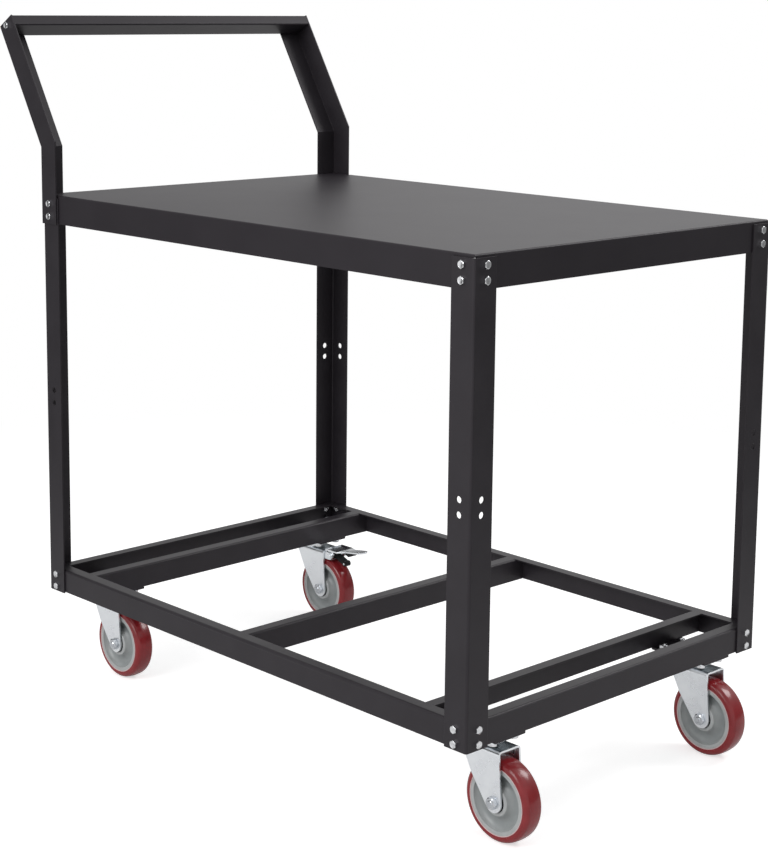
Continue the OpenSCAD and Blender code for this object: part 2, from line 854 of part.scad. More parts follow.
// Bracket riveted to the rear lip of the fork, with two ears for the pin
module brake_bracket(corner) {
    wall_z = pivot_z - 3;
    color(zinc) to_caster(corner) difference() {
        union() {
            translate([crown_rear, -bracket_half, wall_z])
                cube([bracket_t, 2 * bracket_half, pivot_z + boss_r - wall_z]);
            for (side = [-1, 1]) {
                translate([0, side * (bracket_half - bracket_t / 2), 0])
                    side_slab(-bracket_t / 2, bracket_t / 2) ear_view(crown_rear, pivot_z + boss_r);
                translate([crown_rear - fork_t, side * rivet_y, pivot_z]) rotate([0, 90, 0]) {
                    cylinder(r = rivet_r, h = fork_t + bracket_t + 1);
                    translate([0, 0, fork_t + bracket_t]) cylinder(r = rivet_r + 1.2, h = 1.6);
                }
            }
        }
        pivot_hole(pin_r + thread_gap);
    }
}

module brake_bracket_rear_right() brake_bracket(REAR_RIGHT);
module brake_bracket_rear_left() brake_bracket(REAR_LEFT);

// Pedal: a plate with a narrow upturned tongue, hung on the pin by two ears
module brake_pedal(corner) {
    flat_from = pivot_x - 9;
    flat_to = pivot_x + 24;
    tip_x = pivot_x + tongue_reach;
    tip_z = pedal_z + tongue_rise;
    wide = pedal_w / 2;
    narrow = tongue_w / 2;
    color(zinc) to_caster(corner) difference() {
        union() {
            intersection() {
                side_slab(-wide, wide)
                    polygon([
                        [flat_from, pedal_z], [flat_to, pedal_z], [tip_x, tip_z],
                        [tip_x, tip_z + pedal_t], [flat_to, pedal_z + pedal_t],
                        [flat_from, pedal_z + pedal_t]
                    ]);
                translate([0, 0, pedal_z - 1]) linear_extrude(tongue_rise + pedal_t + 2) {
                    polygon([
                        [flat_from, -wide], [flat_to, -wide], [flat_to + 10, -narrow - 3],
                        [flat_to + 16, -narrow], [flat_to + 16, narrow], [flat_to + 10, narrow + 3],
                        [flat_to, wide], [flat_from, wide]
                    ]);
                    translate([flat_to, -narrow]) square([tip_x - narrow - flat_to, 2 * narrow]);
                    translate([tip_x - narrow, 0]) circle(r = narrow);
                }
            }
            for (side = [-1, 1])
                translate([0, side * (ear_half - ear_t / 2), 0])
                    side_slab(-ear_t / 2, ear_t / 2) {
                        translate([pivot_x, pivot_z]) circle(r = boss_r);
                        translate([pivot_x - boss_r, pivot_z])
                            square([2 * boss_r, pedal_z - pivot_z + 1]);
                    }
        }
        pivot_hole(pin_r + run_gap);
    }
}

module brake_pedal_rear_right() brake_pedal(REAR_RIGHT);
module brake_pedal_rear_left() brake_pedal(REAR_LEFT);

// Turns a brake part, drawn with the brake on, back to where it is with the brake off
module brake_off() {
    translate([pivot_x, 0, pivot_z]) rotate([0, -brake_turn, 0])
        translate([-pivot_x, 0, -pivot_z]) children();
}

// Shoe lever: drawn with the brake on, where its end lies along the tread
module brake_shoe(corner) {
    arm = [shoe_x - pivot_x, shoe_z - pivot_z];
    tab_x = pivot_x + 31;
    color(black_part) to_caster(corner) difference() {
        union() {
            brake_off() difference() {
                side_slab(-shoe_half, shoe_half) {
                    translate([pivot_x, pivot_z]) circle(r = boss_r);
                    translate([shoe_x, shoe_z]) circle(r = boss_r);
                    translate([pivot_x, pivot_z]) rotate(atan2(arm[1], arm[0]))
                        translate([0, -boss_r]) square([norm(arm), 2 * boss_r]);
                }
                translate([caster_offset, 0, axle_z]) rotate([90, 0, 0])
                    cylinder(r = tread_r + pass_gap, h = fork_w, center = true);
                translate([shoe_x, 0, shoe_z]) rotate([90, 0, 0])
                    cylinder(r = 2.5, h = fork_w, center = true);
            }
            side_slab(-shoe_half + 3, shoe_half - 3)
                polygon([
                    [tab_x - 7, pivot_z - 9], [tab_x + 1, pivot_z - 9], [tab_x + 4, pedal_z - 8],
                    [tab_x + 18, pedal_z - 8], [tab_x + 22, pedal_z], [tab_x - 4, pedal_z]
                ]);
        }
        pivot_hole(pin_r + run_gap);
    }
}

module brake_shoe_rear_right() brake_shoe(REAR_RIGHT);
module brake_shoe_rear_left() brake_shoe(REAR_LEFT);

module brake_pin(corner) {
    color(zinc) to_caster(corner) translate([pivot_x, 0, pivot_z]) rotate([90, 0, 0]) {
        cylinder(r = pin_r, h = 2 * bracket_half + 2, center = true);
        for (side = [-1, 1])
            translate([0, 0, side * (bracket_half + 0.9)])
                cylinder(r = pin_r + 1.8, h = 1.8, center = true);
    }
}

module brake_pin_rear_right() brake_pin(REAR_RIGHT);
module brake_pin_rear_left() brake_pin(REAR_LEFT);

deck_pan();
deck_stiffener();
post_front_right();
post_front_left();
post_rear_right();
post_rear_left();
side_rail_right();
side_rail_left();
end_rail_front();
end_rail_rear();
cross_rail_front();
cross_rail_center();
cross_rail_rear();
caster_pads();
handle_side_right();
handle_side_left();
handle_bar();
frame_bolts();
handle_bolts();
handle_bar_bolts();
caster_bolts();
hex_nuts();
caster_plate_front_right();
caster_plate_front_left();
caster_plate_rear_right();
caster_plate_rear_left();
kingpins();
swivel_balls();
fork_front_right();
fork_front_left();
fork_rear_right();
fork_rear_left();
axle_bolt_front_right();
axle_bolt_front_left();
axle_bolt_rear_right();
axle_bolt_rear_left();
axle_nut_front_right();
axle_nut_front_left();
axle_nut_rear_right();
axle_nut_rear_left();
axle_sleeve_front_right();
axle_sleeve_front_left();
axle_sleeve_rear_right();
axle_sleeve_rear_left();
wheel_hub_front_right();
wheel_hub_front_left();
wheel_hub_rear_right();
wheel_hub_rear_left();
wheel_tread_front_right();
wheel_tread_front_left();
wheel_tread_rear_right();
wheel_tread_rear_left();
brake_bracket_rear_right();
brake_bracket_rear_left();
brake_pedal_rear_right();
brake_pedal_rear_left();
brake_shoe_rear_right();
brake_shoe_rear_left();
brake_pin_rear_right();
brake_pin_rear_left();
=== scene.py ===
import json
import math

import bmesh
import bpy
from mathutils import Matrix, Vector


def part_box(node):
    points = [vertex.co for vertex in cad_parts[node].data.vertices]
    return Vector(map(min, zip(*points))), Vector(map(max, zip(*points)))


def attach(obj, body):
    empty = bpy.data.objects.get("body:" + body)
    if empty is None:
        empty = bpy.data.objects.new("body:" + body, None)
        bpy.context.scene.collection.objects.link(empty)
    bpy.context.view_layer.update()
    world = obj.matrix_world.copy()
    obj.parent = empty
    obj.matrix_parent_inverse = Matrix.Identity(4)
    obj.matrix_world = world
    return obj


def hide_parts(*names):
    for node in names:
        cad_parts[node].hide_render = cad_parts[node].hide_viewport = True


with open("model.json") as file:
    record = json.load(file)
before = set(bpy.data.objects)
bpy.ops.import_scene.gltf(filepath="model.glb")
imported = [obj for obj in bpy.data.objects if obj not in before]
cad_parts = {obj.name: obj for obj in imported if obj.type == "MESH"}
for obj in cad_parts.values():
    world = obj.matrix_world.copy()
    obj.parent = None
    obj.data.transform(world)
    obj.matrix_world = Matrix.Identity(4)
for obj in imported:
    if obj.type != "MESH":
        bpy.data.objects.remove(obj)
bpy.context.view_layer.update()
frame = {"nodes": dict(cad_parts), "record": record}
nodes = frame["nodes"]
print("frame loaded,", len(nodes), "nodes")

# in the dictionaries of materials and pieces, lengths are in mm and angles in degrees
mm = 0.001
corners = ["front_right", "front_left", "rear_right", "rear_left"]
brakedCorners = ["rear_right", "rear_left"]


def linear(hexColor):
    # sRGB hex to the linear colour that the shaders want
    values = [int(hexColor[i:i + 2], 16) / 255 for i in (1, 3, 5)]
    return [v / 12.92 if v <= 0.04045 else ((v + 0.055) / 1.055) ** 2.4 for v in values] + [1.0]


# materials

# where the sockets of a Mix node stand, because those for colours and for numbers share names
colorMix = {"factor": 0, "first": 6, "second": 7, "result": 2}
numberMix = {"factor": 0, "first": 2, "second": 3, "result": 0}

# the parts of a noise's range over which its clouds go from dark to light
softClouds = (0.3, 0.7)
crispClouds = (0.35, 0.65)


def setNode(tree, node, settings, links):
    # settings are attributes or input values, links are inputs fed by (node, output)
    for name, value in settings.items():
        if isinstance(name, str) and hasattr(node, name):
            setattr(node, name, value)
        else:
            node.inputs[name].default_value = value
    for name, (source, output) in links.items():
        tree.links.new(source.outputs[output], node.inputs[name])


def addNode(tree, kind, settings=None, links=None):
    node = tree.nodes.new(kind)
    setNode(tree, node, settings or {}, links or {})
    return node


def newMaterial(name):
    material = bpy.data.materials.new(name)
    material.use_nodes = True
    tree = material.node_tree
    return material, tree, tree.nodes["Principled BSDF"]


def cloudTint(tree, look, detail, clouds):
    # faint clouds of a real size, and the colour that they give
    place = addNode(tree, "ShaderNodeTexCoord")
    cloud = addNode(tree, "ShaderNodeTexNoise",
                    {"Scale": 1 / (look["cloudSize"] * mm), "Detail": detail},
                    {"Vector": (place, "Object")})
    tint = addNode(tree, "ShaderNodeValToRGB", {}, {"Fac": (cloud, "Fac")})
    for stop, position, shade in zip(tint.color_ramp.elements, clouds, ("dark", "light")):
        stop.position = position
        stop.color = linear(look[shade])
    return place, cloud, tint


def cloudGloss(tree, look, cloud):
    # the same clouds in the roughness
    return addNode(tree, "ShaderNodeMapRange",
                   {"From Min": softClouds[0], "From Max": softClouds[1],
                    "To Min": look["roughness"] - look["glossCloud"],
                    "To Max": look["roughness"] + look["glossCloud"]},
                   {"Value": (cloud, "Fac")})


def grainBump(tree, look, place):
    # the fine grain, over softened edges where the look has a radius for them
    grain = addNode(tree, "ShaderNodeTexNoise",
                    {"Scale": 1 / (look["grainSize"] * mm), "Detail": 2.0},
                    {"Vector": (place, "Object")})
    links = {"Height": (grain, "Fac")}
    if "edge" in look:
        softEdge = addNode(tree, "ShaderNodeBevel", {"samples": 6, "Radius": look["edge"] * mm})
        links["Normal"] = (softEdge, "Normal")
    return addNode(tree, "ShaderNodeBump",
                   {"Strength": look["grain"], "Distance": look["grainDepth"] * mm}, links)


def powderCoatedSteel(name, look):
    # polyester powder baked on steel: a fine orange peel that breaks up the gloss
    material, tree, shader = newMaterial(name)
    place, cloud, tint = cloudTint(tree, look, 3.0, softClouds)
    gloss = cloudGloss(tree, look, cloud)
    bump = grainBump(tree, look, place)
    setNode(tree, shader,
            {"IOR": 1.5, "Specular IOR Level": look["specular"],
             "Specular Tint": linear(look["sheen"])},
            {"Base Color": (tint, "Color"), "Roughness": (gloss, "Result"),
             "Normal": (bump, "Normal")})
    return material


def zincPlatedSteel(name, look):
    # electroplated steel: bright, with faint clouds and the grain of the sheet, which is
    # drawn coarser than the real one so that it shows
    material, tree, shader = newMaterial(name)
    place, cloud, tint = cloudTint(tree, look, 4.0, crispClouds)
    gloss = cloudGloss(tree, look, cloud)
    bump = grainBump(tree, look, place)
    color = (tint, "Color")
    if "paintedTopShade" in look:
        # painted shade: the faces that look straight up are darkened, standing in for the shade
        # and dark reflections under the frame and the ball race
        facing = addNode(tree, "ShaderNodeNewGeometry")
        upward = addNode(tree, "ShaderNodeSeparateXYZ", {}, {"Vector": (facing, "True Normal")})
        topShadeMask = addNode(tree, "ShaderNodeMapRange", {"From Min": 0.9, "From Max": 0.99},
                       {"Value": (upward, "Z")})
        topShaded = addNode(tree, "ShaderNodeMix",
                          {"data_type": "RGBA", "blend_type": "MULTIPLY",
                           colorMix["second"]: linear(look["paintedTopShade"])},
                          {colorMix["factor"]: (topShadeMask, "Result"), colorMix["first"]: color})
        color = (topShaded, colorMix["result"])
    setNode(tree, shader, {"Metallic": 1.0},
            {"Base Color": color, "Roughness": (gloss, "Result"), "Normal": (bump, "Normal")})
    return material


def mouldedPlastic(name, look):
    # moulded part: even and satin, with the faint flow clouds of its filler, and painted shade:
    # darker where the mesh's own attribute says that it is recessed; its grain is drawn coarser
    # than the real one too
    material, tree, shader = newMaterial(name)
    place, _, tint = cloudTint(tree, look, 3.0, softClouds)
    bump = grainBump(tree, look, place)
    color = (tint, "Color")
    if "recessShadeTint" in look:
        # painted shade: the colour is multiplied darker by the mesh's recess attribute
        recessShade = addNode(tree, "ShaderNodeAttribute", {"attribute_name": "recessShade"})
        shaded = addNode(tree, "ShaderNodeMix",
                         {"data_type": "RGBA", "blend_type": "MULTIPLY",
                          colorMix["second"]: linear(look["recessShadeTint"])},
                         {colorMix["factor"]: (recessShade, "Fac"), colorMix["first"]: color})
        color = (shaded, colorMix["result"])
    setNode(tree, shader, {"Roughness": look["roughness"], "IOR": look["ior"]},
            {"Base Color": color, "Normal": (bump, "Normal")})
    return material


# the frame: near black, with a soft grey sheen where it faces the white room
frameCoat = powderCoatedSteel("blackPowderCoat", {
    "dark": "#232024", "light": "#29262a", "roughness": 0.42, "glossCloud": 0.02,
    "specular": 0.3, "sheen": "#fffbff", "cloudSize": 60,
    "grainSize": 0.9, "grain": 0.35, "grainDepth": 0.05, "edge": 0.8})
# the same powder on the wide deck: its sheen runs evenly over the whole sheet
deckCoat = powderCoatedSteel("deckPowderCoat", {
    "dark": "#242125", "light": "#282529", "roughness": 0.42, "glossCloud": 0.006,
    "specular": 0.25, "sheen": "#fffaff", "cloudSize": 90,
    "grainSize": 0.9, "grain": 0.3, "grainDepth": 0.05, "edge": 0.8})
# black oxide of the shoe levers and bearing shields: a dull and deeper black, which on the
# shields is partly painted shade in the gap behind the fork legs
blackOxide = powderCoatedSteel("blackOxideSteel", {
    "dark": "#0e0e10", "light": "#151517", "roughness": 0.45, "glossCloud": 0.03,
    "specular": 0.2, "sheen": "#ffffff", "cloudSize": 12,
    "grainSize": 0.6, "grain": 0.2, "grainDepth": 0.05, "edge": 0.5})
# bright zinc of the caster plates, brackets and pedals: a slightly blurred mirror
casterZinc = zincPlatedSteel("casterZinc", {
    "dark": "#e4e8ec", "light": "#edf0f4", "roughness": 0.15, "glossCloud": 0.02,
    "cloudSize": 30, "grainSize": 0.8, "grain": 0.05, "grainDepth": 0.02, "edge": 0.7})
# zinc of the pressed forks: satin sides, almost white, and painted shade on the grey tops under
# the ball race
forkZinc = zincPlatedSteel("forkZinc", {
    "dark": "#e8ebef", "light": "#f0f3f6", "roughness": 0.28, "glossCloud": 0.02,
    "cloudSize": 30, "grainSize": 0.8, "grain": 0.05, "grainDepth": 0.02, "edge": 0.7,
    "paintedTopShade": "#71797c"})
# zinc of the frame's bolts and nuts: small pale hexagons with clouds of their own size
boltZinc = zincPlatedSteel("boltZinc", {
    "dark": "#cfd0d3", "light": "#e6e7e9", "roughness": 0.2, "glossCloud": 0.04,
    "cloudSize": 4, "grainSize": 0.3, "grain": 0.08, "grainDepth": 0.02, "edge": 0.4})
# zinc of the axle bolts and nuts: darker and glossier, so that the dished head shows
axleZinc = zincPlatedSteel("axleZinc", {
    "dark": "#bbbfc4", "light": "#d2d5d9", "roughness": 0.13, "glossCloud": 0.03,
    "cloudSize": 4, "grainSize": 0.3, "grain": 0.08, "grainDepth": 0.02, "edge": 0.4})
# moulded nylon of the hubs: satin grey, with painted shade down in the dish
hubNylon = mouldedPlastic("hubNylon", {
    "dark": "#a8abab", "light": "#b3b6b6", "roughness": 0.36, "ior": 1.5, "cloudSize": 14,
    "grainSize": 0.5, "grain": 0.2, "grainDepth": 0.03, "recessShadeTint": "#cfd2d3"})
# cast urethane of the treads: dark red, with glossy streaks on the shoulders
treadUrethane = mouldedPlastic("treadUrethane", {
    "dark": "#801f24", "light": "#8c252a", "roughness": 0.2, "ior": 1.45, "cloudSize": 20,
    "grainSize": 0.8, "grain": 0.1, "grainDepth": 0.03})
# urethane where it is bonded to the hub: a thin pale pink line, partly the urethane's flash and
# partly a painted highlight on the edge of the tread's lip
bondFlashAndHighlight = mouldedPlastic("bondFlashAndHighlight", {
    "dark": "#d2b4b4", "light": "#dcc2c2", "roughness": 0.3, "ior": 1.45, "cloudSize": 10,
    "grainSize": 0.8, "grain": 0.1, "grainDepth": 0.03})

slotMaterials = {
    "frame_steel": frameCoat,
    "deck_steel": deckCoat,
    "shoe_steel": blackOxide,
    "caster_steel": casterZinc,
    "fastener_steel": boltZinc,
    "hub_plastic": hubNylon,
    "tread_polyurethane": treadUrethane,
}
for part in frame["record"]["subparts"]:
    isFork = part["node"].startswith("fork_")
    cadMesh = nodes[part["node"]].data
    cadMesh.materials.clear()
    cadMesh.materials.append(forkZinc if isFork else slotMaterials[part["material_slot"]])
print("materials on", len(slotMaterials), "slots")


# pieces

weldDistance = 1e-6     # metres, points of a CAD node closer than this are one
cutDistance = 1e-7      # metres, the same for the pieces made here
cornerShare = 0.97      # of the reach from the axis, past which a point is a hexagon's corner
filletStep = 15         # degrees, the arc that one straight part of a fillet stands for


def finishPiece(name, shape, material, body, replaced, smooth):
    # smooth is the angle up to which two faces are shaded as one
    bmesh.ops.recalc_face_normals(shape, faces=shape.faces)
    mesh = bpy.data.meshes.new(name)
    shape.to_mesh(mesh)
    shape.free()
    mesh.polygons.foreach_set("use_smooth", [True] * len(mesh.polygons))
    mesh.set_sharp_from_angle(angle=math.radians(smooth))
    mesh.materials.append(material)
    piece = bpy.data.objects.new(name, mesh)
    bpy.context.collection.objects.link(piece)
    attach(piece, body)
    if replaced:
        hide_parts(*replaced)
    return piece


def boxSize(nodeName):
    low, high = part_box(nodeName)
    return [high[i] - low[i] for i in range(3)]


def lathe(shape, profile, steps, isRing):
    # turns an outline of (radius, height) round the Z axis; a ring's outline is a closed loop
    verts = [shape.verts.new((r, 0, z)) for r, z in profile]
    edges = [shape.edges.new(pair) for pair in zip(verts, verts[1:])]
    if isRing:
        edges.append(shape.edges.new((verts[-1], verts[0])))
    bmesh.ops.spin(shape, geom=verts + edges, cent=(0, 0, 0), axis=(0, 0, 1), steps=steps,
                   angle=2 * math.pi, use_merge=True)
    bmesh.ops.remove_doubles(shape, verts=shape.verts, dist=cutDistance)


def rounded(points):
    # outline through (x, y, fillet radius) points, each fillet as a short arc
    outline = []
    for i, (x, y, radius) in enumerate(points):
        here = Vector((x, y))
        if radius == 0:
            outline.append(here)
            continue
        before = (Vector(points[i - 1][:2]) - here).normalized()
        after = (Vector(points[(i + 1) % len(points)][:2]) - here).normalized()
        half = before.angle(after) / 2
        reach = radius / math.tan(half)
        middle = here + (before + after).normalized() * radius / math.sin(half)
        first = here + before * reach - middle
        sweep = first.angle_signed(here + after * reach - middle)
        count = max(2, round(abs(math.degrees(sweep)) / filletStep))
        for step in range(count + 1):
            outline.append(middle + Matrix.Rotation(-sweep * step / count, 2) @ first)
    return outline


def arcPoints(middle, radius, start, end, parts):
    return [middle + radius * Vector((math.cos(a), math.sin(a)))
            for a in (start + (end - start) * step / parts for step in range(parts + 1))]


def circlePoints(middle, radius, parts):
    return arcPoints(middle, radius, 0, 2 * math.pi, parts)[:-1]


# bolts and nuts, each set on its own solid of the frame

hexLook = {
    "face": 0.92,       # of the width across flats, where the chamfer starts
    "slope": 30, "coneCuts": 18, "ridges": 4, "smooth": 25,
}
frameBolt = {
    "boltD": 6.4, "pitch": 1.27, "threadDepth": 0.5, "tipChamfer": 0.8, "sides": 20,
    "ring": 0.8, "ringDrop": 0.3, "finish": boltZinc,
}
casterBolt = {
    "boltD": 8, "pitch": 1.4, "threadDepth": 0.6, "tipChamfer": 0.9, "sides": 20,
    "ring": 1.0, "ringDrop": 0.35, "finish": boltZinc,
}
axleBolt = {
    "boltD": 10, "pitch": 1.5, "threadDepth": 0.7, "tipChamfer": 1.1, "sides": 28,
    "ring": 1.2, "ringDrop": 0.4, "finish": axleZinc,
}


def solidsOf(nodeName):
    # the separate solids of a node, each as a list of points
    shape = bmesh.new()
    shape.from_mesh(nodes[nodeName].data)
    bmesh.ops.remove_doubles(shape, verts=shape.verts, dist=weldDistance)
    seen = set()
    solids = []
    for start in shape.verts:
        if start in seen:
            continue
        seen.add(start)
        stack = [start]
        points = []
        while stack:
            vert = stack.pop()
            points.append(vert.co.copy())
            for edge in vert.link_edges:
                other = edge.other_vert(vert)
                if other not in seen:
                    seen.add(other)
                    stack.append(other)
        solids.append(points)
    shape.free()
    return solids


def hexSeat(points, isBolt):
    # where a bolt or nut of the frame sits: its axis, the turn of its corners and its sizes
    low = Vector(min(p[i] for p in points) for i in range(3))
    high = Vector(max(p[i] for p in points) for i in range(3))
    middle = (low + high) / 2
    size = high - low
    # a bolt is longest along its axis, and a nut shortest
    axis = (max if isBolt else min)(range(3), key=lambda i: size[i])
    along = Vector([1.0 if i == axis else 0.0 for i in range(3)])
    across = [(p - middle) - (p - middle).dot(along) * along for p in points]
    corner = max(across, key=lambda v: v.length)
    reach = corner.length
    levels = [p[axis] for p, v in zip(points, across) if v.length > cornerShare * reach]
    headLow, headHigh = min(levels), max(levels)
    start = middle.copy()
    if isBolt and headLow + headHigh > low[axis] + high[axis]:
        along = -along
        start[axis], tip = headLow, low[axis]
    else:
        start[axis], tip = headHigh if isBolt else headLow, high[axis]
    turned = Vector((0, 0, 1)).rotation_difference(along).to_matrix().to_4x4()
    local = turned.inverted() @ corner
    spun = Matrix.Rotation(math.atan2(local.y, local.x), 4, "Z")
    return {"place": Matrix.Translation(start) @ turned @ spun, "corner": reach,
            "head": headHigh - headLow, "shank": abs(tip - start[axis])}


def chamferedHex(shape, corner, bottom, top, ends):
    # hexagonal prism with a corner on X, its ends turned off by a cone as on a real head;
    # ends are (level, 1 for up or -1 for down)
    made = bmesh.ops.create_cone(shape, cap_ends=True, segments=6, radius1=corner,
                                 radius2=corner, depth=top - bottom)
    # the cone comes with a corner on Y
    bmesh.ops.transform(shape, verts=made["verts"],
                        matrix=Matrix.Translation((0, 0, (top + bottom) / 2))
                        @ Matrix.Rotation(math.radians(30), 4, "Z"))
    flat = corner * math.cos(math.radians(30))
    face = flat * hexLook["face"]
    tilt = math.radians(hexLook["slope"])
    for level, up in ends:
        for step in range(hexLook["coneCuts"]):
            angle = math.radians(step * 360 / hexLook["coneCuts"])
            normal = Vector((math.sin(tilt) * math.cos(angle), math.sin(tilt) * math.sin(angle),
                             up * math.cos(tilt)))
            point = Vector((face * math.cos(angle), face * math.sin(angle), level))
            cut = bmesh.ops.bisect_plane(
                shape, geom=shape.verts[:] + shape.edges[:] + shape.faces[:], dist=cutDistance,
                plane_co=point, plane_no=normal, clear_outer=True)
            rim = [g for g in cut["geom_cut"] if isinstance(g, bmesh.types.BMEdge)]
            if len(rim) > 2:
                bmesh.ops.holes_fill(shape, edges=rim, sides=0)


def threadedShank(shape, end, look):
    # shank with a chamfered tip and ridges for the thread where it stands out
    radius = look["boltD"] / 2 * mm
    pitch, depth = look["pitch"] * mm, look["threadDepth"] * mm
    tip = radius - look["tipChamfer"] * mm
    profile = [(0, end), (tip, end), (radius, end - (radius - tip))]
    level = end - (radius - tip) - pitch / 2
    for ridge in range(hexLook["ridges"]):
        profile += [(radius - depth, level), (radius, level - pitch / 2)]
        level -= pitch
    profile += [(radius, 0), (0, 0)]
    lathe(shape, profile, look["sides"], False)


def boltMesh(seat, look):
    # head below the seat, with a shallow ring in its end, and shank above
    head = seat["head"]
    shape = bmesh.new()
    chamferedHex(shape, seat["corner"], -head, 0, [(-head, -1)])
    end = min(shape.faces, key=lambda f: f.calc_center_median().z)
    bmesh.ops.inset_individual(shape, faces=[end], thickness=look["ring"] * mm)
    bmesh.ops.translate(shape, verts=end.verts, vec=(0, 0, look["ringDrop"] * mm))
    threadedShank(shape, seat["shank"], look)
    return shape


def nutMesh(seat):
    head = seat["head"]
    shape = bmesh.new()
    chamferedHex(shape, seat["corner"], 0, head, [(head, 1), (0, -1)])
    return shape


def fastenerPiece(name, nodeName, body, look, isBolt):
    whole = bmesh.new()
    for points in solidsOf(nodeName):
        seat = hexSeat(points, isBolt)
        shape = boltMesh(seat, look) if isBolt else nutMesh(seat)
        bmesh.ops.transform(shape, matrix=seat["place"], verts=shape.verts)
        mesh = bpy.data.meshes.new("fastener")
        shape.to_mesh(mesh)
        shape.free()
        whole.from_mesh(mesh)
        bpy.data.meshes.remove(mesh)
    finishPiece(name, whole, look["finish"], body, [nodeName],
                hexLook["smooth"])


for nodeName in ("frame_bolts", "handle_bolts", "handle_bar_bolts"):
    fastenerPiece("hex_" + nodeName, nodeName, "frame", frameBolt, True)
fastenerPiece("hex_caster_bolts", "caster_bolts", "frame", casterBolt, True)
fastenerPiece("chamfered_nuts", "hex_nuts", "frame", frameBolt, False)
for corner in corners:
    fastenerPiece("axle_screw_" + corner, "axle_bolt_" + corner, "swivel_" + corner,
                  axleBolt, True)
    fastenerPiece("axle_lock_nut_" + corner, "axle_nut_" + corner, "swivel_" + corner,
                  axleBolt, False)
print("bolts and nuts turned")


# wheels, turned round Z and then set on their axles

hubLook = {
    "rimBand": 6.5, "rimInset": 0.4, "rimFillet": 0.5,
    "dishIn": 15, "dishDepth": 9.5, "arcParts": 20,
    "bossStep": 13.5, "bossRise": 1.4, "bossFillet": 0.6,
    "seat": 9.3, "seatDepth": 5,      # recess for the bearing shield
    "bore": 0.05, "collar": 3.5, "collarFillet": 0.4,
    "steps": 128, "smooth": 30,
}
sealLook = {
    "thick": 2.2, "gap": 0.05, "lip": 1.2, "groove": 0.6, "edgeFillet": 0.3,
    "grooveFillet": 0.2, "steps": 96, "smooth": 30,
}
treadLook = {
    "shoulder": 8, "crown": 0.7, "bond": 0.05, "lip": 0.6, "arcParts": 10,
    "steps": 160, "smooth": 50,
}
bondLook = {"section": 0.75, "sink": 0.35, "parts": 10, "steps": 128, "smooth": 50}


def wheelCenter(corner):
    low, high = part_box("wheel_tread_" + corner)
    return (low + high) / 2


def onAxle(shape, corner, turn):
    # a turn of 180 puts what was made for one side of the wheel on the other
    bmesh.ops.rotate(shape, verts=shape.verts, matrix=Matrix.Rotation(math.radians(turn), 3, "X"))
    bmesh.ops.transform(shape, verts=shape.verts,
                        matrix=Matrix.Translation(wheelCenter(corner))
                        @ Matrix.Rotation(math.radians(90), 4, "X"))


def hubPiece(corner):
    _, hubWide, hubTall = boxSize("wheel_hub_" + corner)
    hubR, hubHalf = hubTall / 2, hubWide / 2
    rimHalf = boxSize("wheel_tread_" + corner)[1] / 2 - hubLook["rimInset"] * mm
    sleeveR = boxSize("axle_sleeve_" + corner)[2] / 2
    bore, collar = sleeveR + hubLook["bore"] * mm, sleeveR + hubLook["collar"] * mm
    seat, boss = sleeveR + hubLook["seat"] * mm, sleeveR + hubLook["bossStep"] * mm
    bossHalf = rimHalf + hubLook["bossRise"] * mm
    seatHalf = bossHalf - hubLook["seatDepth"] * mm
    # the dish is an arc between the boss and the rim
    dishIn, dishOut = sleeveR + hubLook["dishIn"] * mm, hubR - hubLook["rimBand"] * mm
    depth, half = hubLook["dishDepth"] * mm, (dishOut - dishIn) / 2
    dishR = (half * half + depth * depth) / (2 * depth)
    sweep = math.asin(half / dishR)
    dish = []
    for step in range(hubLook["arcParts"] + 1):
        angle = -sweep + 2 * sweep * step / hubLook["arcParts"]
        dish.append(((dishIn + dishOut) / 2 + dishR * math.sin(angle),
                     rimHalf + dishR - depth - dishR * math.cos(angle), 0))
    bossFillet = hubLook["bossFillet"] * mm
    side = [(bore, hubHalf, 0), (collar, hubHalf, hubLook["collarFillet"] * mm),
            (collar, seatHalf, 0), (seat, seatHalf, 0), (seat, bossHalf, bossFillet),
            (boss, bossHalf, bossFillet)]
    side += dish + [(hubR, rimHalf, hubLook["rimFillet"] * mm)]
    shape = bmesh.new()
    lathe(shape, rounded(side + [(x, -y, r) for x, y, r in reversed(side)]),
          hubLook["steps"], True)
    onAxle(shape, corner, 0)
    hub = finishPiece("moulded_hub_" + corner, shape, hubNylon, "wheel_" + corner,
                      ["wheel_hub_" + corner], hubLook["smooth"])
    # painted shade in the dish: 0 on the rim and the boss, up to 1 at the bottom of the dish
    recessShade = hub.data.attributes.new("recessShade", "FLOAT", "POINT")
    middle = wheelCenter(corner).y
    for vert, value in zip(hub.data.vertices, recessShade.data):
        value.value = min(1, max(0, (rimHalf - abs(vert.co.y - middle)) / depth))
    for turn in (0, 180):
        sealPiece(corner, turn, collar, seat, seatHalf)


def sealPiece(corner, turn, inner, outer, level):
    # black shield of the bearing, seated in the recess of the hub; its near-black is partly
    # painted shade in the narrow gap behind the fork leg
    gap, lip = sealLook["gap"] * mm, sealLook["lip"] * mm
    top = level + sealLook["thick"] * mm
    groove = top - sealLook["groove"] * mm
    edgeR, grooveR = sealLook["edgeFillet"] * mm, sealLook["grooveFillet"] * mm
    shape = bmesh.new()
    lathe(shape, rounded([
        (inner + gap, level + gap, 0), (inner + gap, top, edgeR), (inner + lip, top, grooveR),
        (inner + lip, groove, grooveR), (outer - lip, groove, grooveR),
        (outer - lip, top, grooveR), (outer - gap, top, edgeR), (outer - gap, level + gap, 0),
    ]), sealLook["steps"], True)
    onAxle(shape, corner, turn)
    finishPiece("bearing_shield_%s_%d" % (corner, turn), shape, blackOxide, "wheel_" + corner,
                [], sealLook["smooth"])


